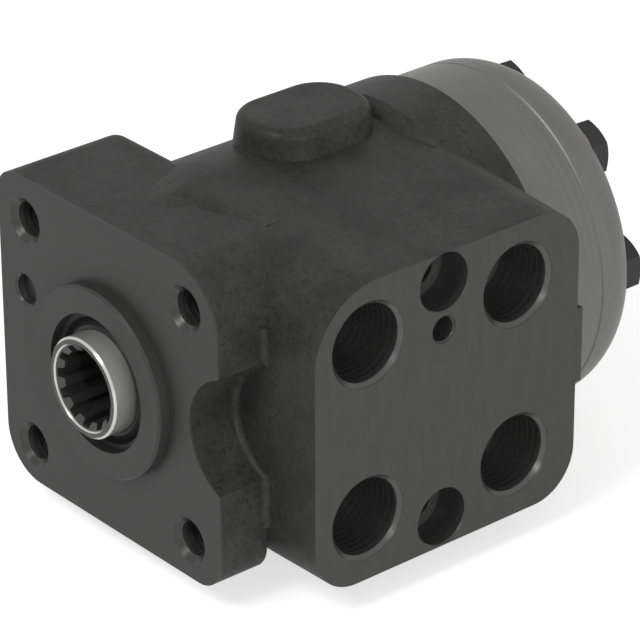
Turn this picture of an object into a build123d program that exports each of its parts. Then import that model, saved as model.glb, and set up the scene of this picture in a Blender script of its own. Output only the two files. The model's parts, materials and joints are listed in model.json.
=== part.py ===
from build123d import *
import os
from math import atan2, cos, hypot, pi, radians, sin, tan

# Orbital steering unit, millimetres.
# The spool turns on the Y axis: the column bolts to the front face at Y = 0 (outward -Y),
# the gear set stands at the rear (+Y), the port face looks along +X and +Z is up.

# ---- driving dimensions: front mounting flange -------------------------------------------
flange_top = 39.8
flange_bottom = 38.8
flange_left = 39.2
flange_right = 40.5
flange_depth = 13.4
corner_top_left = 6.0
corner_top_right = 15.0
corner_bottom_right = 8.0
corner_bottom_left = 12.0
shoulder_depth = 34.0
shoulder_round = 4.0
corner_depth = 26.0
inner_corner_fillet = 1.5
scallop_fillet = 1.5
column_bolt_circle = 82.5
column_thread = 10.0
column_tap_drill = 8.5
column_thread_depth = 12.0
thread_mouth = 0.65
scallop_radius = 15.6
scallop_x = 45.8
scallop_z = 1.5
pilot_radius = 23.3
pilot_height = 3.2
pilot_chamfer = 0.6
leak_hole_radius = 3.6
leak_hole_x = -30.0
leak_hole_z = 11.1
leak_hole_depth = 16.0
leak_plug_inset = 2.4
leak_plug_length = 5.0
plug_fit = 0.02

# ---- housing body ------------------------------------------------------------------------
housing_length = 97.0
body_radius = 41.7
rear_flange_radius = 44.8
rear_flange_length = 14.5
rear_flange_blend = 3.0
port_face_x = 57.4
port_face_front = flange_depth
block_rear_inset = 5.0
port_face_top = 37.2
port_face_bottom = 37.6
block_root_bottom = 38.8
block_top_front_radius = 18.0
block_root_front_radius = 12.0
block_corner_radius = 12.0
rear_pad_height = 19.0
rear_pad_thickness = 1.7
rear_pad_width = 12.0
top_pad_x = -4.4
top_pad_rear_inset = 34.8
top_pad_width = 22.6
top_pad_length = 31.6
top_pad_corner = 10.0
top_pad_level = 48.2
top_pad_draft = 8.0
top_pad_round = 2.5
top_pad_root = 5.0

# ---- ports -------------------------------------------------------------------------------
port_thread = 20.955
port_tap_drill = 18.9
port_front_depth = 18.0
port_rear_depth = 16.0
port_front_y = 28.8
port_rear_inset = 23.8
port_spacing_z = 43.8
port_mouth = 0.1
block_mouth = 0.25
passage_radius = 2.5
passage_step = 3.4
block_bolt_spacing = 59.8
block_counterbore = 14.2
block_counterbore_depth = 9.0
block_tap_drill = 8.5
block_bolt_depth = 24.0
dowel_hole_radius = 3.0
dowel_hole_z = 18.1
dowel_hole_depth = 12.0
groove_radius = 22.4
groove_width = 4.0

# ---- spool and sleeve --------------------------------------------------------------------
running_clearance = 0.03
sleeve_radius = 19.0
spool_radius = 15.5
spool_neck_radius = 12.2
spool_reach = 7.0
sleeve_rear_inset = 4.6
spool_tail_gap = 2.0
input_teeth = 12
input_major_radius = 10.1
input_minor_radius = 8.7
input_spline_end = 10.0
input_mouth_depth = 1.6
input_mouth_chamfer = 0.7
spool_chamfer = 0.6
spool_drain_radius = 4.0
spring_slot_width = 6.0
spring_slot_start = 14.6
spring_slot_length = 7.0
spring_leaf_thickness = 0.55
spring_flat_thickness = 0.7
spring_leaf_length = 33.0
spring_leaf_bow = 1.0
spring_gap = 0.04
spring_seat_depth = 1.4
pin_y = 46.0
pin_radius = 4.0
pin_slide_clearance = 0.15
twist_angle = 8.0
pin_window_gap = 0.4
cardan_cavity_radius = 12.2
cardan_cavity_start = 36.0
valve_hole_radius = 1.6
valve_slot_width = 3.0
valve_slot_depth = 1.3
valve_slot_lead = 4.3
valve_slot_pin_front = 8.0
valve_slot_pin_rear = 10.0
valve_slot_land = 0.2
valve_slot_count = 6
commutator_inset = 10.8
pin_fit = 0.02
pin_end_gap = 0.6

# ---- front seals and bearing -------------------------------------------------------------
dust_recess_radius = 16.7
dust_recess_floor = 2.2
dust_seal_front = -1.0
web_bore_clearance = 0.35
web_thickness = 2.0
shaft_seal_radius = 17.0
shaft_seal_length = 3.8
seal_clearance = 0.1
race_thickness = 1.2
inner_race_thickness = 2.0
needle_radius = 1.0
needle_length = 3.4
needle_count = 18
needle_gap = 0.1
cage_thickness = 1.2
race_clearance = 0.3
race_chamfer = 0.6
plug_chamfer = 0.4

# ---- gear set ----------------------------------------------------------------------------
stack_radius = 43.0
distributor_thickness = 6.8
gear_width = 10.4
cover_thickness = 10.0
cover_land = 3.2
cover_rear_setback = 2.2
stack_chamfer = 0.4
rotor_side_clearance = 0.04
lobe_radius = 7.6
ring_lobes = 7
eccentricity = 4.1
lobe_clearance = 0.1
root_clearance = 0.25
root_fillet = 1.5
flank_points = 120
flank_bunching = 0.85
chamber_port_radius = 2.5
chamber_drill_radius = 2.2
chamber_port_circle = 28.0
distributor_bore_radius = 11.4

# ---- drive shaft -------------------------------------------------------------------------
fork_radius = 8.6
fork_front = 6.5
fork_rear = 8.0
fork_slot_rear = 4.8
fork_chamfer = 1.0
cardan_radius = 6.2
drive_teeth = 12
drive_major_radius = 8.4
drive_minor_radius = 7.0
drive_length = 5.8
drive_clearance = 0.55
spacer_thickness = 2.4
spacer_radius = 7.1
drive_front_gap = 1.2
spacer_end_gap = 0.1

# ---- cover screws and seals --------------------------------------------------------------
screw_circle = 32.5
screw_radius = 4.0
screw_clearance = 0.2
screw_fit = 0.04
screw_engagement = 13.5
screw_end_gap = 1.0
screw_tip_chamfer = 0.8
screw_head_flats = 13.0
screw_head_height = 5.4
screw_crown_radius = 6.1
screw_crown_slope = 30.0
washer_radius = 7.0
washer_thickness = 1.3
first_screw_angle = 90.0
seal_circle = 39.5
seal_width = 2.1
seal_groove_width = 2.4
seal_groove_depth = 1.35
seal_height = 1.3

# ---- check valve, ball and roll pin ------------------------------------------------------
check_circle = 33.6
check_angle = 54.0
check_thread_radius = 3.6
check_chamber_radius = 2.9
check_passage_radius = 2.0
check_bush_length = 6.0
check_bush_inset = 0.6
check_bush_bore = 1.8
check_bush_socket_flats = 4.0
check_bush_socket_depth = 2.5
check_ball_radius = 2.5
check_ball_travel = 1.6
pin_bore_radius = 2.6
roll_pin_bore = 1.9
roll_pin_slit = 0.9
roll_pin_length = 9.0
stop_ball_radius = 2.2
stop_ball_travel = 2.0
ball_gap = 0.05
ball_end_gap = 0.3

# ---- derived places ----------------------------------------------------------------------
column_bolt_half = column_bolt_circle / 2 * cos(pi / 4)
web_front = dust_recess_floor
web_rear = web_front + web_thickness
bearing_front = web_rear + shaft_seal_length
needle_front = bearing_front + race_thickness
inner_race_front = needle_front + 2 * needle_radius + 2 * needle_gap
sleeve_front = inner_race_front + inner_race_thickness
sleeve_rear = housing_length - sleeve_rear_inset
spool_rear = sleeve_rear - spool_tail_gap
bore_radius = sleeve_radius + running_clearance
sleeve_bore = spool_radius + running_clearance
ring_seat_end = spring_slot_start + spring_slot_length + spring_seat_depth
ring_seat_radius = sleeve_radius - spring_seat_depth
port_face_rear = housing_length - block_rear_inset
top_pad_y = housing_length - top_pad_rear_inset
block_front_top = port_face_top - block_top_front_radius
port_rear_y = housing_length - port_rear_inset
port_mid_y = (port_front_y + port_rear_y) / 2
commutator_y = housing_length - commutator_inset
valve_slot_spans = (
    (port_front_y - valve_slot_lead, pin_y - valve_slot_pin_front),
    (pin_y + valve_slot_pin_rear, commutator_y - valve_slot_land),
)
distributor_front = housing_length
ring_front = distributor_front + distributor_thickness
cover_front = ring_front + gear_width
cover_rear = cover_front + cover_thickness
cover_rear_radius = stack_radius - cover_rear_setback
lobe_circle = screw_circle
lobe_tip_radius = lobe_circle - lobe_radius
root_radius = lobe_tip_radius + 2 * eccentricity + root_clearance
rotor_lobes = ring_lobes - 1
screw_pitch = 360 / ring_lobes
screw_angles = [first_screw_angle + screw_pitch * n for n in range(ring_lobes)]
port_angles = [angle + screw_pitch / 2 for angle in screw_angles]
screw_tip = housing_length - screw_engagement
port_rows = ((port_front_y, port_front_depth), (port_rear_y, port_rear_depth))
passage_ys = (
    port_front_y - passage_step,
    port_front_y + passage_step,
    port_rear_y - passage_step,
    port_rear_y + passage_step,
)
check_bush_front = housing_length - check_bush_inset - check_bush_length
ball_seat_depth = (check_ball_radius**2 - check_bush_bore**2) ** 0.5
check_ball_y = check_bush_front - ball_seat_depth - ball_gap
check_chamber_end = check_ball_y - check_ball_radius - check_ball_travel - ball_end_gap
roll_pin_front = screw_tip - roll_pin_length
stop_ball_y = roll_pin_front - stop_ball_radius - ball_gap
pin_bore_end = stop_ball_y - stop_ball_radius - stop_ball_travel - ball_end_gap
drive_mid = ring_front + drive_front_gap + drive_length / 2
cardan_tilt = atan2(eccentricity, drive_mid - pin_y)


def across(y):
    """Section plane at Y = y: local x is up (+Z), local y is towards the ports (+X)."""
    return Plane(origin=(0, y, 0), x_dir=(0, 0, 1), z_dir=(0, 1, 0))


def on_circle(radius, angle):
    """Local place on a section plane, the angle measured from the top towards the ports."""
    return (radius * cos(radians(angle)), radius * sin(radians(angle)))


def turned(*profile):
    """Solid of revolution about Y from (y, radius) corners."""
    with BuildPart() as piece:
        with BuildSketch(Plane.YZ):
            with BuildLine():
                Polyline(*profile, close=True)
            make_face()
        revolve(axis=Axis.Y)
    return piece.part


def splined_outline(teeth, outer, inner, share):
    """Straight-sided tooth outline; share is the part of the pitch taken by a tooth."""
    points = []
    pitch = 2 * pi / teeth
    for n in range(teeth):
        middle = n * pitch
        half_root = pitch * share / 2 * 1.18
        half_tip = pitch * share / 2 * 0.82
        for radius, turn in (
            (inner, -half_root),
            (outer, -half_tip),
            (outer, half_tip),
            (inner, half_root),
        ):
            points.append((radius * cos(middle + turn), radius * sin(middle + turn)))
    return points


def finish(piece, name):
    """Names a finished piece and writes it out."""
    piece.label = name
    export_step(piece, f"parts/{name}.step")


os.makedirs("parts", exist_ok=True)

# ---- housing: casting --------------------------------------------------------------------
# raised pad on top, drafted down into the round body
with BuildPart() as top_pad:
    with BuildSketch(Plane.XY.offset(top_pad_level)):
        with Locations((top_pad_x, top_pad_y)):
            RectangleRounded(top_pad_width, top_pad_length, top_pad_corner)
    extrude(amount=-(top_pad_level - body_radius + top_pad_root), taper=-top_pad_draft)
    fillet(top_pad.faces().sort_by(Axis.Z)[-1].edges(), radius=top_pad_round)

# space of the wrench scallop, rounded where it ends against the port block
with BuildPart() as scallop:
    with BuildSketch(across(0)):
        with Locations((scallop_z, scallop_x)):
            Circle(scallop_radius)
    extrude(amount=flange_depth)
    fillet(scallop.edges().group_by(Axis.Y)[-1], radius=scallop_fillet)

with BuildPart() as housing:
    # mounting flange, full outline
    with BuildSketch(across(0)):
        with BuildLine():
            FilletPolyline(
                (flange_top, -flange_left),
                (flange_top, flange_right),
                (-flange_bottom, flange_right),
                (-flange_bottom, -flange_left),
                radius=[
                    corner_top_left,
                    corner_top_right,
                    corner_bottom_right,
                    corner_bottom_left,
                ],
                close=True,
            )
        make_face()
    extrude(amount=flange_depth)
    # deeper shoulder on the side away from the ports
    shoulder_right = flange_right - corner_top_right
    with BuildSketch(across(0)):
        with BuildLine():
            FilletPolyline(
                (flange_top, -flange_left),
                (flange_top, shoulder_right),
                (-flange_bottom, shoulder_right),
                (-flange_bottom, -flange_left),
                radius=[corner_top_left, 0, 0, corner_bottom_left],
                close=True,
            )
        make_face()
    extrude(amount=shoulder_depth)
    fillet(housing.edges().group_by(Axis.Y)[-1], radius=shoulder_round)
    # top corner on the port side, carried back into the port block
    with BuildSketch(across(0)):
        with BuildLine():
            FilletPolyline(
                (flange_top, 0),
                (flange_top, flange_right),
                (block_front_top, flange_right),
                (block_front_top, 0),
                radius=[0, corner_top_right, 0, 0],
                close=True,
            )
        make_face()
    extrude(amount=corner_depth)
    # round body and rear flange
    rear_flange_front = housing_length - rear_flange_length
    with BuildSketch(Plane.YZ):
        with BuildLine():
            Polyline(
                (flange_depth, 0),
                (flange_depth, flange_top),
                (shoulder_depth, body_radius),
                (rear_flange_front - rear_flange_blend, body_radius),
                (rear_flange_front, rear_flange_radius),
                (housing_length, rear_flange_radius),
                (housing_length, 0),
                close=True,
            )
        make_face()
    revolve(axis=Axis.Y)
    # port block, drafted from the spool axis out to the port face
    for x, top, bottom, front_radius in (
        (0, body_radius, block_root_bottom, block_root_front_radius),
        (port_face_x, port_face_top, port_face_bottom, block_top_front_radius),
    ):
        with BuildSketch(Plane.YZ.offset(x)):
            with BuildLine():
                FilletPolyline(
                    (port_face_front, top),
                    (port_face_rear, top),
                    (port_face_rear, -bottom),
                    (port_face_front, -bottom),
                    radius=[
                        front_radius,
                        block_corner_radius,
                        block_corner_radius,
                        block_corner_radius,
                    ],
                    close=True,
                )
            make_face()
    loft()
    # stop pad behind the port block
    with BuildSketch(Plane.YZ.offset(port_face_x)):
        with Locations((port_face_rear, 0)):
            Rectangle(2 * rear_pad_thickness, rear_pad_height)
    extrude(amount=-rear_pad_width)
    add(top_pad.part)
    # cast fillet where the port block meets the flange's side
    block_front_bottom = block_corner_radius - port_face_bottom
    with BuildSketch(Plane.XY.offset(block_front_bottom)):
        with Locations((flange_right, flange_depth)):
            Rectangle(2 * inner_corner_fillet, 2 * inner_corner_fillet)
        with Locations((flange_right + inner_corner_fillet, flange_depth - inner_corner_fillet)):
            Circle(inner_corner_fillet, mode=Mode.SUBTRACT)
    extrude(amount=flange_top - corner_top_right - block_front_bottom)
    # wrench scallop through the flange
    add(scallop.part, mode=Mode.SUBTRACT)
    # machined pilot ring round the spool
    with BuildSketch(across(0)):
        Circle(pilot_radius)
    extrude(amount=-pilot_height)
    chamfer(housing.edges().group_by(Axis.Y)[0], length=pilot_chamfer)

    # ---- housing: spool bore, seal seats, ring grooves and port passages ----
    with BuildSketch(Plane.YZ):
        with BuildLine():
            Polyline(
                (-pilot_height, 0),
                (-pilot_height, dust_recess_radius),
                (web_front, dust_recess_radius),
                (web_front, spool_neck_radius + web_bore_clearance),
                (web_rear, spool_neck_radius + web_bore_clearance),
                (web_rear, shaft_seal_radius),
                (bearing_front, shaft_seal_radius),
                (bearing_front, bore_radius),
                (housing_length, bore_radius),
                (housing_length, 0),
                close=True,
            )
        make_face()
    revolve(axis=Axis.Y, mode=Mode.SUBTRACT)
    with BuildSketch(Plane.YZ):
        for y in passage_ys:
            with Locations((y, groove_radius / 2)):
                Rectangle(groove_width, groove_radius)
    revolve(axis=Axis.Y, mode=Mode.SUBTRACT)
    for port_y, depth in port_rows:
        with BuildSketch(Plane.YZ):
            for side in (-1, 1):
                with Locations((port_y + side * passage_step, side * groove_radius)):
                    Circle(passage_radius)
        extrude(amount=port_face_x - depth, mode=Mode.SUBTRACT)

    # ---- housing: holes in the port face ----
    with Locations(Plane.YZ.offset(port_face_x)):
        for port_y, depth in port_rows:
            with Locations((port_y, 0)):
                with GridLocations(1, port_spacing_z, 1, 2):
                    CounterSinkHole(
                        radius=port_tap_drill / 2,
                        counter_sink_radius=port_thread / 2 + port_mouth,
                        depth=depth,
                        counter_sink_angle=90,
                    )
        with Locations((port_mid_y, 0)):
            with GridLocations(1, block_bolt_spacing, 1, 2):
                CounterSinkHole(
                    radius=block_counterbore / 2,
                    counter_sink_radius=block_counterbore / 2 + block_mouth,
                    depth=block_counterbore_depth,
                    counter_sink_angle=90,
                )
                Hole(radius=block_tap_drill / 2, depth=block_bolt_depth)
            with Locations((0, dowel_hole_z)):
                CounterSinkHole(
                    radius=dowel_hole_radius,
                    counter_sink_radius=dowel_hole_radius + 2 * block_mouth,
                    depth=dowel_hole_depth,
                    counter_sink_angle=90,
                )

    # ---- housing: holes in the mounting face ----
    with Locations(Plane.XZ):
        with GridLocations(2 * column_bolt_half, 2 * column_bolt_half, 2, 2):
            CounterSinkHole(
                radius=column_tap_drill / 2,
                counter_sink_radius=column_thread / 2 + thread_mouth,
                depth=column_thread_depth,
                counter_sink_angle=90,
            )
        with Locations((leak_hole_x, leak_hole_z)):
            CounterSinkHole(
                radius=leak_hole_radius,
                counter_sink_radius=leak_hole_radius + 2 * block_mouth,
                depth=leak_hole_depth,
                counter_sink_angle=90,
            )

    # ---- housing: rear face ----
    with BuildSketch(across(screw_tip - screw_end_gap)):
        with Locations(*[on_circle(screw_circle, angle) for angle in screw_angles]):
            Circle(screw_radius + screw_fit)
    extrude(amount=screw_engagement + screw_end_gap, mode=Mode.SUBTRACT)
    with BuildSketch(across(housing_length - seal_groove_depth)):
        Circle(seal_circle + seal_groove_width / 2)
        Circle(seal_circle - seal_groove_width / 2, mode=Mode.SUBTRACT)
    extrude(amount=seal_groove_depth, mode=Mode.SUBTRACT)
    # slanted passages from the gear set chambers to the sleeve
    for angle in port_angles:
        outer_z, outer_x = on_circle(chamber_port_circle, angle)
        inner_z, inner_x = on_circle(bore_radius, angle)
        start = Vector(outer_x, housing_length, outer_z)
        end = Vector(inner_x, commutator_y, inner_z)
        slant = (end - start).normalized()
        run_out = 2 * chamber_drill_radius
        with BuildSketch(Plane(origin=start - slant * run_out, z_dir=slant)):
            Circle(chamber_drill_radius)
        extrude(amount=(end - start).length + 2 * run_out, mode=Mode.SUBTRACT)
    # check valve: threaded seat, ball chamber and the way to the upper rear port
    for y_start, radius in (
        (check_bush_front, check_thread_radius + screw_fit),
        (check_chamber_end, check_chamber_radius),
        (port_rear_y + passage_step, check_passage_radius),
    ):
        with BuildSketch(across(y_start)):
            with Locations(on_circle(check_circle, check_angle)):
                Circle(radius)
        extrude(amount=housing_length - y_start, mode=Mode.SUBTRACT)
    # ball and roll pin hole below the special screw
    with BuildSketch(across(pin_bore_end)):
        with Locations(on_circle(screw_circle, first_screw_angle)):
            Circle(pin_bore_radius)
    extrude(amount=screw_tip - pin_bore_end, mode=Mode.SUBTRACT)
finish(housing.part, "housing")

# ---- front seals, plug and bearing -------------------------------------------------------
lip_radius = spool_neck_radius + seal_clearance
seal_outer = dust_recess_radius - seal_clearance / 2
lip_thickness = 0.9
lip_valley = dust_seal_front + (web_front - dust_seal_front) / 2
dust_seal = turned(
    (dust_seal_front, seal_outer),
    (dust_seal_front, seal_outer - 1.5 * lip_thickness),
    (lip_valley, seal_outer - 2.2 * lip_thickness),
    (dust_seal_front, lip_radius + lip_thickness),
    (dust_seal_front, lip_radius),
    (dust_seal_front + lip_thickness, lip_radius),
    (web_front, lip_radius + lip_thickness),
    (web_front, seal_outer),
)
finish(dust_seal, "dust_seal")

shaft_seal = turned(
    (web_rear, lip_radius + lip_thickness / 2),
    (web_rear, shaft_seal_radius - seal_clearance),
    (bearing_front, shaft_seal_radius - seal_clearance),
    (bearing_front, lip_radius + lip_thickness / 2),
    ((web_rear + bearing_front) / 2, lip_radius),
)
finish(shaft_seal, "shaft_seal")

with BuildPart() as leak_plug:
    with BuildSketch(across(leak_plug_inset)):
        with Locations((leak_hole_z, leak_hole_x)):
            Circle(leak_hole_radius - plug_fit)
    extrude(amount=leak_plug_length)
    chamfer(leak_plug.edges().group_by(Axis.Y)[0], length=plug_chamfer)
finish(leak_plug.part, "leak_plug")

race_bore = spool_neck_radius + race_clearance
race_outer = bore_radius - race_clearance
outer_race = turned(
    (bearing_front, race_bore),
    (bearing_front, race_outer),
    (needle_front, race_outer),
    (needle_front, race_bore),
)
finish(outer_race, "bearing_outer_race")
inner_race = turned(
    (inner_race_front, race_bore),
    (inner_race_front, race_outer),
    (sleeve_front - race_chamfer, race_outer),
    (sleeve_front, race_outer - race_chamfer),
    (sleeve_front, race_bore),
)
finish(inner_race, "bearing_inner_race")

needle_y = needle_front + needle_gap + needle_radius
needle_circle = (race_bore + race_outer) / 2
with BuildPart() as needles:
    for n in range(needle_count):
        start_z, start_x = on_circle(needle_circle - needle_length / 2, 360 / needle_count * n)
        with BuildSketch(Plane(origin=(start_x, needle_y, start_z), z_dir=(start_x, 0, start_z))):
            Circle(needle_radius)
        extrude(amount=needle_length)
finish(needles.part, "bearing_needles")

with BuildPart() as needle_cage:
    with BuildSketch(across(needle_y - cage_thickness / 2)):
        Circle(race_outer - needle_gap)
        Circle(race_bore + needle_gap, mode=Mode.SUBTRACT)
        with PolarLocations(needle_circle, needle_count):
            Rectangle(
                needle_length + 2 * needle_gap,
                2 * (needle_radius + needle_gap),
                mode=Mode.SUBTRACT,
            )
    extrude(amount=cage_thickness)
finish(needle_cage.part, "needle_cage")

# ---- control spool -----------------------------------------------------------------------
front_y = -spool_reach
with BuildPart() as spool:
    with BuildSketch(Plane.YZ):
        with BuildLine():
            Polyline(
                (front_y, 0),
                (front_y, spool_neck_radius - spool_chamfer),
                (front_y + spool_chamfer, spool_neck_radius),
                (sleeve_front, spool_neck_radius),
                (sleeve_front, spool_radius),
                (spool_rear, spool_radius),
                (spool_rear, cardan_cavity_radius),
                (cardan_cavity_start, cardan_cavity_radius),
                (cardan_cavity_start, spool_drain_radius),
                (input_spline_end, spool_drain_radius),
                (input_spline_end, 0),
                close=True,
            )
        make_face()
    revolve(axis=Axis.Y)
    # column spline behind a plain chamfered mouth
    with BuildSketch(across(front_y)):
        with BuildLine():
            Polyline(
                *splined_outline(input_teeth, input_major_radius, input_minor_radius, 0.5),
                close=True,
            )
        make_face()
    extrude(amount=spool_reach + input_spline_end, mode=Mode.SUBTRACT)
    with BuildSketch(Plane.YZ):
        with BuildLine():
            Polyline(
                (front_y, 0),
                (front_y, input_major_radius + input_mouth_chamfer),
                (front_y + input_mouth_chamfer, input_major_radius),
                (front_y + input_mouth_depth, input_minor_radius),
                (front_y + input_mouth_depth, 0),
                close=True,
            )
        make_face()
    revolve(axis=Axis.Y, mode=Mode.SUBTRACT)
    # through slot for the centring springs
    with BuildSketch(across(spring_slot_start)):
        Rectangle(spring_slot_width, 3 * spool_radius)
    extrude(amount=spring_slot_length, mode=Mode.SUBTRACT)
    # cross pin windows, long enough for the twist of the valve
    twist = radians(twist_angle)
    pin_window = 2 * (pin_radius / cos(twist) + spool_radius * sin(twist) + pin_window_gap)
    with BuildSketch(Plane.XY):
        with Locations((0, pin_y)):
            SlotOverall(pin_window, 2 * (pin_radius + pin_slide_clearance))
    extrude(amount=2 * spool_radius, both=True, mode=Mode.SUBTRACT)
    # long valve slots in the outer surface
    for slot_start, slot_end in valve_slot_spans:
        with BuildSketch(across(slot_start)):
            with PolarLocations(spool_radius, valve_slot_count, start_angle=180 / valve_slot_count):
                Rectangle(2 * valve_slot_depth, valve_slot_width)
        extrude(amount=slot_end - slot_start, mode=Mode.SUBTRACT)
finish(spool.part, "control_spool")

# ---- control sleeve, cross pin and spring ring -------------------------------------------
with BuildPart() as sleeve:
    with BuildSketch(Plane.YZ):
        with BuildLine():
            Polyline(
                (sleeve_front, sleeve_bore),
                (sleeve_front, ring_seat_radius),
                (ring_seat_end, ring_seat_radius),
                (ring_seat_end, sleeve_radius),
                (sleeve_rear, sleeve_radius),
                (sleeve_rear, sleeve_bore),
                close=True,
            )
        make_face()
    revolve(axis=Axis.Y)
    with BuildSketch(across(spring_slot_start)):
        Rectangle(spring_slot_width, 3 * sleeve_radius)
    extrude(amount=spring_slot_length, mode=Mode.SUBTRACT)
    with BuildSketch(Plane.XY):
        with Locations((0, pin_y)):
            Circle(pin_radius + pin_fit)
    extrude(amount=2 * sleeve_radius, both=True, mode=Mode.SUBTRACT)
    # rows of valve holes at the housing grooves and at the slanted passages
    for row, y in enumerate((*passage_ys, commutator_y)):
        row_turn = 180 / valve_slot_count * (row % 2)
        for n in range(valve_slot_count // 2):
            z_part, x_part = on_circle(1, row_turn + 360 / valve_slot_count * n)
            with BuildSketch(Plane(origin=(0, y, 0), z_dir=(x_part, 0, z_part))):
                Circle(valve_hole_radius)
            extrude(amount=2 * sleeve_radius, both=True, mode=Mode.SUBTRACT)
finish(sleeve.part, "control_sleeve")

pin_half = sleeve_radius - pin_end_gap
with BuildPart() as cross_pin:
    with BuildSketch(Plane.XY.offset(-pin_half)):
        with Locations((0, pin_y)):
            Circle(pin_radius)
    extrude(amount=2 * pin_half)
    chamfer(cross_pin.edges().filter_by(GeomType.CIRCLE), length=plug_chamfer)
finish(cross_pin.part, "cross_pin")

ring_start = (sleeve_front + spring_slot_start) / 2
spring_ring = turned(
    (ring_start, ring_seat_radius + spring_gap),
    (ring_start, sleeve_radius - spring_gap),
    (ring_seat_end - spring_gap, sleeve_radius - spring_gap),
    (ring_seat_end - spring_gap, ring_seat_radius + spring_gap),
)
finish(spring_ring, "spring_ring")

# ---- centring springs --------------------------------------------------------------------
leaf_half = spring_leaf_length / 2
leaf_width = spring_slot_length - 2 * spring_gap
flat_outer = spring_slot_width / 2 - spring_gap
flat_inner = flat_outer - spring_flat_thickness
with BuildPart() as flat_springs:
    with BuildSketch(across(spring_slot_start + spring_gap)):
        for side in (1, -1):
            with Locations((side * (flat_inner + flat_outer) / 2, 0)):
                Rectangle(spring_flat_thickness, spring_leaf_length)
    extrude(amount=leaf_width)
finish(flat_springs.part, "flat_springs")

with BuildPart() as curved_springs:
    for side in (1, -1):
        for layer in range(2):
            outer = flat_inner - spring_gap - layer * (spring_leaf_thickness + spring_gap)
            inner = outer - spring_leaf_thickness
            with BuildSketch(across(spring_slot_start + spring_gap)):
                with BuildLine():
                    outer_bow = ThreePointArc(
                        (side * outer, -leaf_half),
                        (side * (outer - spring_leaf_bow), 0),
                        (side * outer, leaf_half),
                    )
                    inner_bow = ThreePointArc(
                        (side * inner, -leaf_half),
                        (side * (inner - spring_leaf_bow), 0),
                        (side * inner, leaf_half),
                    )
                    Line(outer_bow @ 0, inner_bow @ 0)
                    Line(outer_bow @ 1, inner_bow @ 1)
                make_face()
            extrude(amount=leaf_width)
finish(curved_springs.part, "curved_springs")

# ---- cardan shaft, tilted about the cross pin to the rotor centre --------------------------
cardan_plane = Plane(
    origin=(0, pin_y, 0), x_dir=(0, 0, 1), z_dir=(sin(cardan_tilt), cos(cardan_tilt), 0)
)
drive_reach = hypot(eccentricity, drive_mid - pin_y)
with BuildPart() as cardan:
    with BuildSketch(cardan_plane.offset(-fork_front)):
        Circle(fork_radius)
    extrude(amount=fork_front + fork_rear)
    chamfer(cardan.edges().filter_by(GeomType.CIRCLE), length=fork_chamfer)
    with BuildSketch(cardan_plane.offset(-fork_front)):
        Rectangle(3 * fork_radius, 2 * (pin_radius + pin_slide_clearance))
    extrude(amount=fork_front + fork_slot_rear, mode=Mode.SUBTRACT)
    with BuildSketch(cardan_plane.offset(fork_rear)):
        Circle(cardan_radius)
    extrude(amount=drive_reach - fork_rear)
    with BuildSketch(cardan_plane.offset(drive_reach - drive_length / 2)):
        with BuildLine():
            Polyline(
                *splined_outline(drive_teeth, drive_major_radius, drive_minor_radius, 0.38),
                close=True,
            )
        make_face()
    extrude(amount=drive_length)
finish(cardan.part, "cardan_shaft")

spacer_rear = cover_front - spacer_end_gap
with BuildPart() as spacer:
    with BuildSketch(across(spacer_rear - spacer_thickness)):
        with Locations((0, eccentricity)):
            Circle(spacer_radius)
    extrude(amount=spacer_thickness)
    chamfer(spacer.edges().filter_by(GeomType.CIRCLE), length=plug_chamfer)
finish(spacer.part, "cardan_spacer")

# ---- gear set ----------------------------------------------------------------------------
screw_places = [on_circle(screw_circle, angle) for angle in screw_angles]
chamber_places = [on_circle(chamber_port_circle, angle) for angle in port_angles]
with BuildPart() as distributor:
    with BuildSketch(across(distributor_front)):
        Circle(stack_radius)
        Circle(distributor_bore_radius, mode=Mode.SUBTRACT)
        with Locations(*screw_places):
            Circle(screw_radius + screw_clearance, mode=Mode.SUBTRACT)
        with Locations(*chamber_places):
            Circle(chamber_port_radius, mode=Mode.SUBTRACT)
    extrude(amount=distributor_thickness)
finish(distributor.part, "distributor_plate")

with BuildPart() as gear_ring:
    with BuildSketch(across(ring_front)):
        Circle(stack_radius)
    extrude(amount=gear_width)
    chamfer(gear_ring.edges().group_by(Axis.Y)[-1], length=stack_chamfer)
    with BuildSketch(across(ring_front)) as cavity:
        Circle(root_radius)
        with Locations(*screw_places):
            Circle(lobe_radius, mode=Mode.SUBTRACT)
        fillet(cavity.vertices(), radius=root_fillet)
    extrude(amount=gear_width, mode=Mode.SUBTRACT)
    with BuildSketch(across(ring_front)):
        with Locations(*screw_places):
            Circle(screw_radius + screw_clearance)
    extrude(amount=gear_width, mode=Mode.SUBTRACT)
    for groove_start in (ring_front, cover_front - seal_groove_depth):
        with BuildSketch(across(groove_start)):
            Circle(seal_circle + seal_groove_width / 2)
            Circle(seal_circle - seal_groove_width / 2, mode=Mode.SUBTRACT)
        extrude(amount=seal_groove_depth, mode=Mode.SUBTRACT)
finish(gear_ring.part, "gear_ring")


def rotor_flank(step):
    """Place on the rotor outline: the inner envelope of the ring lobes as the rotor orbits."""
    turn = step - flank_bunching / rotor_lobes * sin(rotor_lobes * step)
    path = Vector(
        lobe_circle * cos(turn) - eccentricity * cos(ring_lobes * turn),
        lobe_circle * sin(turn) - eccentricity * sin(ring_lobes * turn),
    )
    slope = Vector(
        -lobe_circle * sin(turn) + ring_lobes * eccentricity * sin(ring_lobes * turn),
        lobe_circle * cos(turn) - ring_lobes * eccentricity * cos(ring_lobes * turn),
    )
    inward = Vector(-slope.Y, slope.X).normalized()
    flank = path + inward * (lobe_radius + lobe_clearance)
    place = flank.rotate(Axis.Z, first_screw_angle) + Vector(0, eccentricity)
    return (place.X, place.Y)


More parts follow.
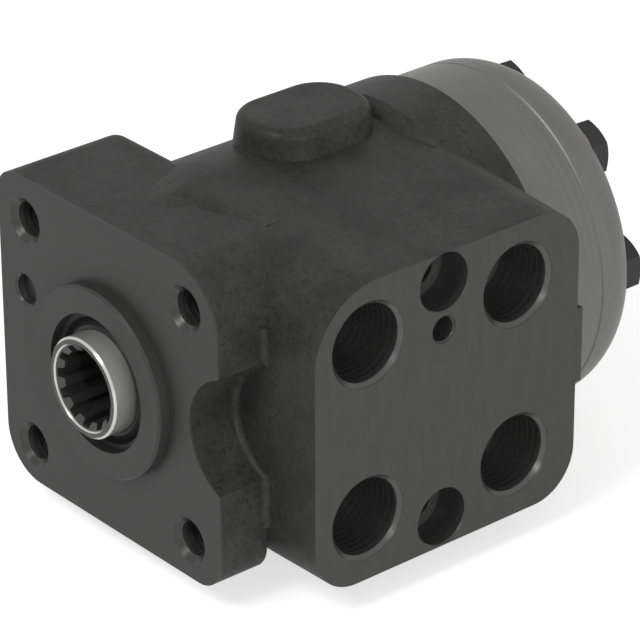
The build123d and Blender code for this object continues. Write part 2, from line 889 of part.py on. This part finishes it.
with BuildPart() as rotor:
    with BuildSketch(across(ring_front + rotor_side_clearance)):
        with BuildLine():
            Spline(
                *[rotor_flank(2 * pi * n / flank_points) for n in range(flank_points)],
                periodic=True,
            )
        make_face()
    extrude(amount=gear_width - 2 * rotor_side_clearance)
    drive_hole_plane = Plane(
        origin=(eccentricity, ring_front, 0), x_dir=(0, 0, 1), z_dir=(0, 1, 0)
    )
    with BuildSketch(drive_hole_plane):
        with BuildLine():
            Polyline(
                *splined_outline(
                    drive_teeth,
                    drive_major_radius + drive_clearance,
                    drive_minor_radius + drive_clearance,
                    0.56,
                ),
                close=True,
            )
        make_face()
    extrude(amount=gear_width, mode=Mode.SUBTRACT)
finish(rotor.part, "gear_rotor")

with BuildPart() as end_cover:
    with BuildSketch(Plane.YZ):
        with BuildLine():
            side = Line(
                (cover_front + stack_chamfer, stack_radius),
                (cover_front + cover_land, stack_radius),
            )
            crown = TangentArc(side @ 1, (cover_rear, cover_rear_radius), tangent=side % 1)
            Polyline(
                crown @ 1,
                (cover_rear, 0),
                (cover_front, 0),
                (cover_front, stack_radius - stack_chamfer),
                side @ 0,
            )
        make_face()
    revolve(axis=Axis.Y)
    with BuildSketch(across(cover_front)):
        with Locations(*screw_places):
            Circle(screw_radius + screw_clearance)
    extrude(amount=cover_thickness, mode=Mode.SUBTRACT)
finish(end_cover.part, "end_cover")

# ---- seal rings of the gear set ----------------------------------------------------------
for name, seal_y in (
    ("housing_o_ring", housing_length - seal_groove_depth / 2),
    ("ring_front_o_ring", ring_front + seal_groove_depth / 2),
    ("ring_rear_o_ring", cover_front - seal_groove_depth / 2),
):
    with BuildPart() as o_ring:
        with BuildSketch(Plane.YZ):
            with Locations((seal_y, seal_circle)):
                RectangleRounded(seal_height, seal_width, seal_height / 3)
        revolve(axis=Axis.Y)
    finish(o_ring.part, name)

# ---- screws and washers ------------------------------------------------------------------
head_front = cover_rear + washer_thickness
head_rear = head_front + screw_head_height
head_corner = screw_head_flats / 2 / cos(pi / 6)
crown_drop = (head_corner - screw_crown_radius) * tan(radians(screw_crown_slope))
with BuildPart() as screw:
    with BuildSketch(across(screw_tip)):
        Circle(screw_radius)
    extrude(amount=head_front - screw_tip)
    chamfer(screw.edges().group_by(Axis.Y)[0], length=screw_tip_chamfer)
    with BuildSketch(across(head_front)):
        RegularPolygon(radius=head_corner, side_count=6)
    extrude(amount=screw_head_height)
    with BuildSketch(Plane.YZ):
        with BuildLine():
            Polyline(
                (head_rear, screw_crown_radius),
                (head_rear, 2 * head_corner),
                (head_rear - crown_drop, 2 * head_corner),
                (head_rear - crown_drop, head_corner),
                close=True,
            )
        make_face()
    revolve(axis=Axis.Y, mode=Mode.SUBTRACT)

with BuildPart() as cover_screws:
    for place_z, place_x in screw_places[1:]:
        with Locations((place_x, 0, place_z)):
            add(screw.part)
finish(cover_screws.part, "cover_screws")

with BuildPart() as special_screw:
    special_z, special_x = screw_places[0]
    with Locations((special_x, 0, special_z)):
        add(screw.part)
finish(special_screw.part, "special_screw")

with BuildPart() as washers:
    with BuildSketch(across(cover_rear)):
        with Locations(*screw_places):
            Circle(washer_radius)
        with Locations(*screw_places):
            Circle(screw_radius + screw_clearance / 2, mode=Mode.SUBTRACT)
    extrude(amount=washer_thickness)
finish(washers.part, "screw_washers")

# ---- check valve, ball and roll pin ------------------------------------------------------
check_z, check_x = on_circle(check_circle, check_angle)
with BuildPart() as check_ball:
    with Locations((check_x, check_ball_y, check_z)):
        Sphere(check_ball_radius)
finish(check_ball.part, "check_ball")

with BuildPart() as check_bush:
    with BuildSketch(across(check_bush_front)):
        with Locations((check_z, check_x)):
            Circle(check_thread_radius)
            Circle(check_bush_bore, mode=Mode.SUBTRACT)
    extrude(amount=check_bush_length)
    with BuildSketch(across(check_bush_front + check_bush_length - check_bush_socket_depth)):
        with Locations((check_z, check_x)):
            RegularPolygon(radius=check_bush_socket_flats / 2, side_count=6, major_radius=False)
    extrude(amount=check_bush_socket_depth, mode=Mode.SUBTRACT)
finish(check_bush.part, "check_bush")

with BuildPart() as stop_ball:
    with Locations((special_x, stop_ball_y, special_z)):
        Sphere(stop_ball_radius)
finish(stop_ball.part, "recirculation_ball")

with BuildPart() as roll_pin:
    with BuildSketch(across(roll_pin_front)):
        with Locations((special_z, special_x)):
            Circle(pin_bore_radius - plug_fit)
            Circle(roll_pin_bore, mode=Mode.SUBTRACT)
        with Locations((special_z, special_x + pin_bore_radius)):
            Rectangle(roll_pin_slit, 2 * roll_pin_bore, mode=Mode.SUBTRACT)
    extrude(amount=roll_pin_length)
finish(roll_pin.part, "roll_pin")
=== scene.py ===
import json
from math import cos, pi, radians, sin

import bmesh
import bpy
from mathutils import Matrix, Vector


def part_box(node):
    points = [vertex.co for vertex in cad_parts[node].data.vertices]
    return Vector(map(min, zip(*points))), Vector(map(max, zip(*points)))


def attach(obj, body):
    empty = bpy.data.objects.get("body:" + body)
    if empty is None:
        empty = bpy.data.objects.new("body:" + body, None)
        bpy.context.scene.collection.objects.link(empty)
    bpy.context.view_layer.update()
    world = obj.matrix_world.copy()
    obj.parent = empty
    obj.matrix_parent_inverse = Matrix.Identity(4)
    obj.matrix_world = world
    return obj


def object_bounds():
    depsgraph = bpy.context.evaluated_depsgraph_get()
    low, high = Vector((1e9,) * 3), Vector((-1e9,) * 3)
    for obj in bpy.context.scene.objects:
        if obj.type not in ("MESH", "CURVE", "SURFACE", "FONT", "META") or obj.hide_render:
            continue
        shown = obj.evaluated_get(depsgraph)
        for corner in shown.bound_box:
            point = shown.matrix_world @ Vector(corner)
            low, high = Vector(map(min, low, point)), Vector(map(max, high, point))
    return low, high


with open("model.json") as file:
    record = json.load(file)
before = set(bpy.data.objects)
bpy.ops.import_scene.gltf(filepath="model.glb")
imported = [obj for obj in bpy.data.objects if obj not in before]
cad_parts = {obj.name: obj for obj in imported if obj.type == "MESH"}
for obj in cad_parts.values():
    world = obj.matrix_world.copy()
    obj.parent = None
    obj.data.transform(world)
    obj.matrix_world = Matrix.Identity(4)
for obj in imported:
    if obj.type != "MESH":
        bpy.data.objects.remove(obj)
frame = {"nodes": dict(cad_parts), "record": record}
cad_box = [list(corner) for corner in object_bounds()]
scene = bpy.context.scene
nodes = frame["nodes"]

# ---- view --------------------------------------------------------------------------------
VIEW_AZIMUTH = 49.84
VIEW_ELEVATION = 27.43
VIEW_ROLL = -0.2
VIEW_DISTANCE = 0.94794
VIEW_TARGET = Vector((0.00399, 0.060, -0.00355))
IMAGE_SIDE = 640
FOCAL_PIXELS = 4038.56
SENSOR_MM = 36.0
CLIP_START, CLIP_END = 0.05, 20

# ---- light: each lamp's direction from the object, size in metres and watts -----------------
LAMPS = {
    "key": ((0.1, -0.85, 0.95), (0.45, 0.4), 4.6),
    "flash": ((0.95, -0.42, 0.33), (0.04, 0.04), 2.0),
    "side": ((1.4, -0.1, 0.08), (0.5, 0.5), 5.4),
}
LAMP_DISTANCE = 1.1
WORLD_LIGHT = 0.40
FLOOR_LIFT = 0.6
FLOOR_SIZE = 6
FLOOR_GAP = 0.0005

# ---- sizes taken from the frame, metres ----------------------------------------------------
MOUNTS = {m["name"]: m for m in frame["record"]["mounts"]}
PORT_FACE_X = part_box("housing")[1].x
PORT_MOUNTS = [
    mount
    for name, mount in MOUNTS.items()
    if name.startswith("port_") and mount["kind"] == "threaded_hole"
]
COLUMN_HALF = MOUNTS["column_bolts"]["dims"]["spacing_x_mm"] / 2000
COLUMN_RADIUS = MOUNTS["column_bolts"]["dims"]["hole_r_mm"] / 1000
BLOCK_Y = MOUNTS["block_bolts"]["pos_m"][1]
BLOCK_HALF = MOUNTS["block_bolts"]["dims"]["spacing_y_mm"] / 2000
BLOCK_COUNTERBORE = 0.0071
LOCATING_Z = 0.0181
LOCATING_RADIUS = 0.003
LEAK_X, LEAK_Z = -0.030, 0.0111
LEAK_RADIUS = 0.0036
SPOOL_FACE = -0.00690
SPLINE_RADIUS = 0.01035

# ---- threads, metres -----------------------------------------------------------------------
PORT_PITCH = 0.001814
PORT_THREAD_DEPTH = 0.00014
PORT_THREAD_START = 0.0011
PORT_THREAD_RUNOUT = 0.001
COLUMN_PITCH = 0.0015
COLUMN_THREAD_DEPTH = 0.00012
COLUMN_THREAD_LENGTH = 0.010
COLUMN_THREAD_START = 0.0014
THREAD_STEPS = 48
THREAD_FADE = 1.5
THREAD_SINK = 0.00002
THREAD_PROFILE = ((0.06, 0.0), (0.44, 1.0), (0.56, 1.0), (0.94, 0.0))

# ---- where the housing's finish changes, metres --------------------------------------------
FRONT_FINISH = 0.0006
PORT_FINISH = 0.00005
HOLE_START = 0.00003
PORT_MOUTH, PORT_WALL = 0.00125, 0.00085
BLOCK_MOUTH, BLOCK_WALL = 0.0003, 0.00005
COLUMN_MOUTH, COLUMN_WALL = 0.0015, 0.0001
LEAK_MOUTH = 0.0005
PORT_LIP, PORT_ROOM = 0.0014, 0.030
COLUMN_LIP, COLUMN_ROOM = 0.0018, 0.0133
PORT_FACE_INSIDE = 0.0366

# ---- the housing's colours -----------------------------------------------------------------
SKIN_DARK, SKIN_LIGHT = (0.0145, 0.0145, 0.014), (0.033, 0.033, 0.032)
SKIN_PITS = (0.006, 0.006, 0.006)
PORT_FACE_DARK, PORT_FACE_LIGHT = (0.036, 0.036, 0.035), (0.044, 0.044, 0.043)
# Painted shade: the machined front face takes a darker copy of the port face's paint colour.
FRONT_FACE_SHADED = (0.032, 0.032, 0.0313)
HOLE_MOUTH = (0.05, 0.05, 0.049)
HOLE_WALL = (0.080, 0.080, 0.079)
HOLE_ROUGHNESS = (0.27, 0.27, 0.27)


def place_camera():
    """Camera at the photograph's angle, with the photograph's square frame."""
    azimuth = radians(VIEW_AZIMUTH)
    elevation = radians(VIEW_ELEVATION)
    back = Vector(
        (sin(azimuth) * cos(elevation), -cos(azimuth) * cos(elevation), sin(elevation))
    )
    right = Vector((cos(azimuth), sin(azimuth), 0))
    up = back.cross(right)
    roll = radians(VIEW_ROLL)
    rolled_right = right * cos(roll) + up * sin(roll)
    rolled_up = up * cos(roll) - right * sin(roll)
    camera = bpy.data.objects.new("camera", bpy.data.cameras.new("camera"))
    scene.collection.objects.link(camera)
    camera.matrix_world = Matrix.Translation(VIEW_TARGET + back * VIEW_DISTANCE) @ Matrix(
        (rolled_right, rolled_up, back)
    ).transposed().to_4x4()
    camera.data.sensor_width = SENSOR_MM
    camera.data.lens = FOCAL_PIXELS / IMAGE_SIDE * SENSOR_MM
    camera.data.clip_start = CLIP_START
    camera.data.clip_end = CLIP_END
    scene.camera = camera


# ---- node helpers --------------------------------------------------------------------------
class Shader:
    """A node material built step by step."""

    def __init__(self, name):
        self.material = bpy.data.materials.new(name)
        self.material.use_nodes = True
        self.tree = self.material.node_tree
        self.bsdf = next(n for n in self.tree.nodes if n.type == "BSDF_PRINCIPLED")

    def node(self, kind, **inputs):
        made = self.tree.nodes.new(kind)
        for key, value in inputs.items():
            self.feed(made.inputs[key], value)
        return made

    def feed(self, socket, value):
        if isinstance(value, bpy.types.NodeSocket):
            self.tree.links.new(value, socket)
        else:
            socket.default_value = value

    def math(self, operation, first, second=0.0):
        made = self.tree.nodes.new("ShaderNodeMath")
        made.operation = operation
        self.feed(made.inputs[0], first)
        self.feed(made.inputs[1], second)
        return made.outputs[0]

    def axes(self):
        """The x, y and z of the place on the object."""
        place = self.tree.nodes.new("ShaderNodeTexCoord").outputs["Object"]
        return self.node("ShaderNodeSeparateXYZ", Vector=place).outputs

    def coords(self, stretch=(1, 1, 1)):
        """Object coordinates, stretched along each axis."""
        place = self.tree.nodes.new("ShaderNodeTexCoord").outputs["Object"]
        return self.node("ShaderNodeMapping", Vector=place, Scale=stretch).outputs[0]

    def noise(self, scale, detail=3.0, rough=0.55, stretch=(1, 1, 1)):
        return self.node(
            "ShaderNodeTexNoise",
            Vector=self.coords(stretch),
            Scale=scale,
            Detail=detail,
            Roughness=rough,
        ).outputs[0]

    def ramp(self, value, *stops):
        """Linear steps between (position, grey or colour) stops."""
        made = self.node("ShaderNodeValToRGB", Fac=value)
        elements = made.color_ramp.elements
        while len(elements) < len(stops):
            elements.new(0.5)
        for element, (position, colour) in zip(elements, stops):
            element.position = position
            grey = isinstance(colour, (int, float))
            element.color = (colour, colour, colour, 1) if grey else (*colour, 1)
        return made.outputs[0]

    def mix(self, factor, first, second):
        made = self.tree.nodes.new("ShaderNodeMix")
        made.data_type = "RGBA"
        colours = [s for s in made.inputs if s.type == "RGBA"]
        self.feed(next(s for s in made.inputs if s.type == "VALUE"), factor)
        for socket, value in zip(colours, (first, second)):
            self.feed(socket, value if isinstance(value, bpy.types.NodeSocket) else (*value, 1))
        return next(s for s in made.outputs if s.type == "RGBA")

    def bump(self, height, strength, distance):
        made = self.node("ShaderNodeBump", Height=height, Strength=strength, Distance=distance)
        self.feed(self.bsdf.inputs["Normal"], made.outputs[0])

    def set(self, **inputs):
        for key, value in inputs.items():
            self.feed(self.bsdf.inputs[key.replace("_", " ")], value)


def squares(s, first, second):
    """The sum of two squares."""
    return s.math("ADD", s.math("MULTIPLY", first, first), s.math("MULTIPLY", second, second))


def widened(holes, margin):
    """The same round holes, each wider by a margin."""
    return [(across, up, radius + margin) for across, up, radius in holes]


def hole_mask(s, across, up, holes):
    """1 inside any of the round holes, seen along their axes."""
    total = 0.0
    for centre_across, centre_up, radius in holes:
        first = s.math("SUBTRACT", across, centre_across)
        second = s.math("SUBTRACT", up, centre_up)
        inside = s.math("LESS_THAN", squares(s, first, second), radius**2)
        total = inside if total == 0.0 else s.math("MAXIMUM", total, inside)
    return total


def hole_finish(s, x, y, z):
    """1 on the chamfered mouths, and 1 on the walls, of the holes in both machined faces."""
    ports = [(m["pos_m"][1], m["pos_m"][2], m["dims"]["r_mm"] / 1000) for m in PORT_MOUNTS]
    blocks = [(BLOCK_Y, side * BLOCK_HALF, BLOCK_COUNTERBORE) for side in (-1, 1)]
    blocks.append((BLOCK_Y, LOCATING_Z, LOCATING_RADIUS))
    columns = [(i * COLUMN_HALF, k * COLUMN_HALF, COLUMN_RADIUS) for i in (-1, 1) for k in (-1, 1)]
    leak = [(LEAK_X, LEAK_Z, LEAK_RADIUS)]

    start = s.math("LESS_THAN", x, PORT_FACE_X - HOLE_START)
    lip = s.math("GREATER_THAN", x, PORT_FACE_X - PORT_LIP)
    room = s.math("GREATER_THAN", x, PORT_FACE_X - PORT_ROOM)
    inside_face = s.math("LESS_THAN", s.math("ABSOLUTE", z), PORT_FACE_INSIDE)
    rings = hole_mask(s, y, z, widened(ports, PORT_MOUTH) + widened(blocks, BLOCK_MOUTH))
    mouth = s.math("MULTIPLY", rings, s.math("MULTIPLY", start, lip))
    mouth = s.math("MULTIPLY", mouth, inside_face)
    walls = hole_mask(s, y, z, widened(ports, PORT_WALL) + widened(blocks, BLOCK_WALL))
    wall = s.math("MULTIPLY", walls, s.math("MULTIPLY", start, room))

    start = s.math("GREATER_THAN", y, HOLE_START)
    lip = s.math("LESS_THAN", y, COLUMN_LIP)
    room = s.math("LESS_THAN", y, COLUMN_ROOM)
    rings = hole_mask(s, x, z, widened(columns, COLUMN_MOUTH) + widened(leak, LEAK_MOUTH))
    front_mouth = s.math("MULTIPLY", rings, s.math("MULTIPLY", start, lip))
    walls = hole_mask(s, x, z, widened(columns + leak, COLUMN_WALL))
    front_wall = s.math("MULTIPLY", walls, s.math("MULTIPLY", start, room))
    return s.math("MAXIMUM", mouth, front_mouth), s.math("MAXIMUM", wall, front_wall)


def paint_shader():
    """Dark grey paint: rough on the casting's skin, smoother on machined faces and in holes; the
    front face is coloured darker than the port face as painted shade.
    """
    s = Shader("housing_paint")
    x, y, z = s.axes()
    front = s.math("LESS_THAN", y, FRONT_FINISH)
    port_side = s.math("GREATER_THAN", x, PORT_FACE_X - PORT_FINISH)
    machined = s.math("MAXIMUM", front, port_side)
    mouth, wall = hole_finish(s, x, y, z)
    hole = s.math("MAXIMUM", mouth, wall)
    skin = s.noise(900, 4, 0.6)
    mottle = s.noise(75, 5, 0.75)
    brushed = s.noise(90, 3, 0.6, (6, 6, 0.9))
    rough_colour = s.mix(s.ramp(mottle, (0.34, 0.0), (0.64, 1.0)), SKIN_DARK, SKIN_LIGHT)
    rough_colour = s.mix(s.ramp(skin, (0.34, 0.7), (0.47, 0.0)), rough_colour, SKIN_PITS)
    streaks = s.ramp(brushed, (0.3, 0.0), (0.7, 1.0))
    # Painted shade: machined faces other than the port face get a darker grey than the port face.
    smooth_colour = s.mix(port_side, FRONT_FACE_SHADED, s.mix(streaks, PORT_FACE_DARK, PORT_FACE_LIGHT))
    colour = s.mix(machined, rough_colour, smooth_colour)
    colour = s.mix(mouth, colour, HOLE_MOUTH)
    s.set(Base_Color=s.mix(wall, colour, HOLE_WALL))
    s.set(Metallic=s.math("MULTIPLY", hole, 0.5))
    rough = s.ramp(machined, (0.0, 0.66), (1.0, 0.5))
    s.set(Roughness=s.mix(hole, rough, HOLE_ROUGHNESS), Specular_IOR_Level=0.2)
    s.set(Coat_Weight=0.12, Coat_Roughness=0.32)
    pits = s.node("ShaderNodeTexVoronoi", Vector=s.coords(), Scale=260)
    pit = s.ramp(pits.outputs["Distance"], (0.04, 0.0), (0.16, 1.0))
    grain = s.math("ADD", skin, s.math("MULTIPLY", pit, 0.5))
    level = s.math("SUBTRACT", 1.0, s.math("MULTIPLY", s.math("MAXIMUM", machined, mouth), 0.93))
    s.bump(s.math("MULTIPLY", grain, level), 0.5, 0.0005)
    return s.material


def turned_shader(name, dark, light, roughness):
    """Bare steel turned on a lathe: fine rings along Y and slow streaks round it."""
    s = Shader(name)
    rings = s.noise(240, 3, 0.6, (0.1, 12, 0.1))
    cloud = s.ramp(s.noise(30, 3, 0.5), (0.35, 0.0), (0.75, 0.35))
    colour = s.mix(s.ramp(rings, (0.3, 0.0), (0.7, 1.0)), dark, light)
    s.set(Base_Color=s.mix(cloud, colour, tuple(c * 0.75 for c in dark)), Metallic=0.8)
    s.set(Roughness=s.ramp(rings, (0.25, roughness - 0.03), (0.75, roughness + 0.04)))
    s.bump(rings, 0.1, 0.0001)
    return s.material


def metal_shader(name, colour, roughness, metallic=1.0):
    """Plain machined metal with fine scratches and slight unevenness."""
    s = Shader(name)
    scratch = s.noise(900, 3, 0.6, (1, 1, 0.12))
    wear = s.ramp(s.noise(70, 3, 0.5), (0.3, 0.0), (0.7, 1.0))
    s.set(Base_Color=s.mix(wear, tuple(c * 0.82 for c in colour), colour), Metallic=metallic)
    s.set(Roughness=s.ramp(scratch, (0.3, roughness - 0.04), (0.7, roughness + 0.06)))
    s.bump(scratch, 0.04, 0.0001)
    return s.material


def spool_shader():
    """Ground steel, light round the outside; the end face and the inside of the spline are
    darkened with painted shade.
    """
    s = Shader("ground_steel")
    x, y, z = s.axes()
    # Masks for the painted shade: the end face, and the inside of the spline behind it.
    face = s.math("LESS_THAN", y, SPOOL_FACE)
    narrow = s.math("LESS_THAN", squares(s, x, z), SPLINE_RADIUS**2)
    socket = s.math("MULTIPLY", narrow, s.math("GREATER_THAN", y, SPOOL_FACE))
    rings = s.ramp(s.noise(700, 2, 0.5, (0.1, 6, 0.1)), (0.3, 0.0), (0.7, 1.0))
    colour = s.mix(rings, (0.50, 0.50, 0.49), (0.56, 0.56, 0.55))
    # Painted shade: the same ground steel is coloured far darker on the end face and down in the
    # spline.
    colour = s.mix(face, colour, (0.055, 0.055, 0.054))
    s.set(Base_Color=s.mix(socket, colour, (0.06, 0.06, 0.059)), Metallic=0.6)
    s.set(Roughness=s.mix(socket, (0.2, 0.2, 0.2), (0.34, 0.34, 0.34)))
    return s.material


def rubber_shader():
    """Black rubber with a fine moulded grain."""
    s = Shader("rubber")
    grain = s.noise(1400, 3, 0.6)
    s.set(Base_Color=s.mix(grain, (0.008, 0.008, 0.008), (0.016, 0.016, 0.016)))
    s.set(Roughness=s.ramp(grain, (0.3, 0.5), (0.7, 0.66)), Specular_IOR_Level=0.35)
    s.bump(grain, 0.2, 0.0001)
    return s.material


SHADERS = {
    "housing_paint": paint_shader(),
    "turned_steel": turned_shader("turned_steel", (0.135, 0.135, 0.13), (0.17, 0.17, 0.165), 0.46),
    "ground_steel": spool_shader(),
    "steel": metal_shader("steel", (0.45, 0.45, 0.45), 0.34),
    "spring_steel": metal_shader("spring_steel", (0.22, 0.24, 0.28), 0.32),
    "black_steel": metal_shader("black_steel", (0.014, 0.014, 0.015), 0.42, 0.4),
    "plug_steel": metal_shader("plug_steel", (0.018, 0.018, 0.018), 0.5, 0.3),
    "brass": metal_shader("brass", (0.55, 0.40, 0.17), 0.34),
    "copper": metal_shader("copper", (0.42, 0.22, 0.14), 0.38),
    "rubber": rubber_shader(),
}


def dress_nodes():
    """Every carried-over node takes the shader of its record slot."""
    for part in frame["record"]["subparts"]:
        node = nodes[part["node"]]
        node.data.materials.clear()
        node.data.materials.append(SHADERS[part["material_slot"]])


# ---- threads -------------------------------------------------------------------------------
THREAD_METAL = metal_shader("thread_metal", (0.070, 0.070, 0.069), 0.28, 0.5)


def thread_ridge(name, radius, depth, pitch, length):
    """An internal V-thread: a helical ridge that stands in from a bore's wall, axis along +Z."""
    last_step = length / pitch * THREAD_STEPS
    mesh = bmesh.new()
    rows = []
    for n in range(int(last_step) + 1):
        turn = n / THREAD_STEPS
        angle = 2 * pi * turn
        rise = pitch * turn
        fade = min(1.0, turn * THREAD_FADE, (last_step - n) / THREAD_STEPS * THREAD_FADE)
        row = []
        for along, inward in THREAD_PROFILE:
            r = radius - depth * inward * fade + THREAD_SINK * (inward == 0)
            row.append(mesh.verts.new((r * cos(angle), r * sin(angle), rise + pitch * along)))
        rows.append(row)
    for first, second in zip(rows, rows[1:]):
        for k in range(3):
            mesh.faces.new((first[k], second[k], second[k + 1], first[k + 1]))
        mesh.faces.new((first[3], second[3], second[0], first[0]))
    mesh.faces.new(rows[0])
    mesh.faces.new(reversed(rows[-1]))
    bmesh.ops.recalc_face_normals(mesh, faces=mesh.faces)
    data = bpy.data.meshes.new(name)
    mesh.to_mesh(data)
    mesh.free()
    piece = bpy.data.objects.new(name, data)
    scene.collection.objects.link(piece)
    data.materials.append(THREAD_METAL)
    return piece


def cut_threads():
    """Threads in the four ports and in the four column bolt holes."""
    for mount in PORT_MOUNTS:
        length = mount["dims"]["length_mm"] / 1000 - PORT_THREAD_RUNOUT
        piece = thread_ridge(
            "thread_" + mount["name"],
            mount["dims"]["r_mm"] / 1000,
            PORT_THREAD_DEPTH,
            PORT_PITCH,
            length - PORT_PITCH,
        )
        _, y, z = mount["pos_m"]
        place = Matrix.Translation((PORT_FACE_X - PORT_THREAD_START, y, z))
        piece.matrix_world = place @ Matrix.Rotation(-pi / 2, 4, "Y")
        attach(piece, "housing_body")
    for n, (side_x, side_z) in enumerate(((-1, 1), (1, 1), (-1, -1), (1, -1))):
        piece = thread_ridge(
            f"thread_column_{n + 1}",
            COLUMN_RADIUS,
            COLUMN_THREAD_DEPTH,
            COLUMN_PITCH,
            COLUMN_THREAD_LENGTH - COLUMN_PITCH,
        )
        x, z = side_x * COLUMN_HALF, side_z * COLUMN_HALF
        place = Matrix.Translation((x, COLUMN_THREAD_START, z))
        piece.matrix_world = place @ Matrix.Rotation(-pi / 2, 4, "X")
        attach(piece, "housing_body")


# ---- stage and light -----------------------------------------------------------------------
def seen_rays(tree):
    """1 for camera, mirror and glass rays, 0 for the rays that light the object."""
    path = tree.nodes.new("ShaderNodeLightPath")
    total = path.outputs["Is Camera Ray"]
    for name in ("Is Glossy Ray", "Is Transmission Ray"):
        both = tree.nodes.new("ShaderNodeMath")
        both.operation = "MAXIMUM"
        tree.links.new(total, both.inputs[0])
        tree.links.new(path.outputs[name], both.inputs[1])
        total = both.outputs[0]
    return total


def floor_material():
    """Pale floor that is white where it is seen, and darker in the object's shadow."""
    s = Shader("floor")
    s.set(Base_Color=(0.8, 0.8, 0.8, 1), Roughness=0.9, Specular_IOR_Level=0.0)
    s.set(Emission_Color=(1, 1, 1, 1))
    s.set(Emission_Strength=s.math("MULTIPLY", seen_rays(s.tree), FLOOR_LIFT))
    return s.material


def build_stage():
    """Pale floor under the object."""
    floor_z = cad_box[0][2] - FLOOR_GAP
    mesh = bmesh.new()
    bmesh.ops.create_grid(mesh, x_segments=1, y_segments=1, size=FLOOR_SIZE)
    data = bpy.data.meshes.new("floor")
    mesh.to_mesh(data)
    mesh.free()
    floor = bpy.data.objects.new("floor", data)
    floor.location = (0, 0, floor_z)
    data.materials.append(floor_material())
    scene.collection.objects.link(floor)


def soft_lamp(name, direction, size, power):
    """Area lamp that looks at the object from a direction."""
    lamp = bpy.data.lights.new(name, "AREA")
    lamp.shape = "RECTANGLE"
    lamp.size, lamp.size_y = size
    lamp.energy = power
    holder = bpy.data.objects.new(name, lamp)
    holder.location = VIEW_TARGET + Vector(direction).normalized() * LAMP_DISTANCE
    holder.rotation_euler = Vector(direction).to_track_quat("Z", "Y").to_euler()
    scene.collection.objects.link(holder)


def light_world():
    """White to the camera and in reflections, softer as light."""
    world = bpy.data.worlds.new("world")
    scene.world = world
    world.use_nodes = True
    tree = world.node_tree
    background = next(n for n in tree.nodes if n.type == "BACKGROUND")
    background.inputs["Color"].default_value = (1, 1, 1, 1)
    strength = tree.nodes.new("ShaderNodeMapRange")
    strength.inputs["To Min"].default_value = WORLD_LIGHT
    strength.inputs["To Max"].default_value = 1.0
    tree.links.new(seen_rays(tree), strength.inputs["Value"])
    tree.links.new(strength.outputs[0], background.inputs["Strength"])


place_camera()
dress_nodes()
cut_threads()
build_stage()
light_world()
for lamp_name, (direction, size, power) in LAMPS.items():
    soft_lamp(lamp_name, direction, size, power)

scene.view_settings.view_transform = "Standard"
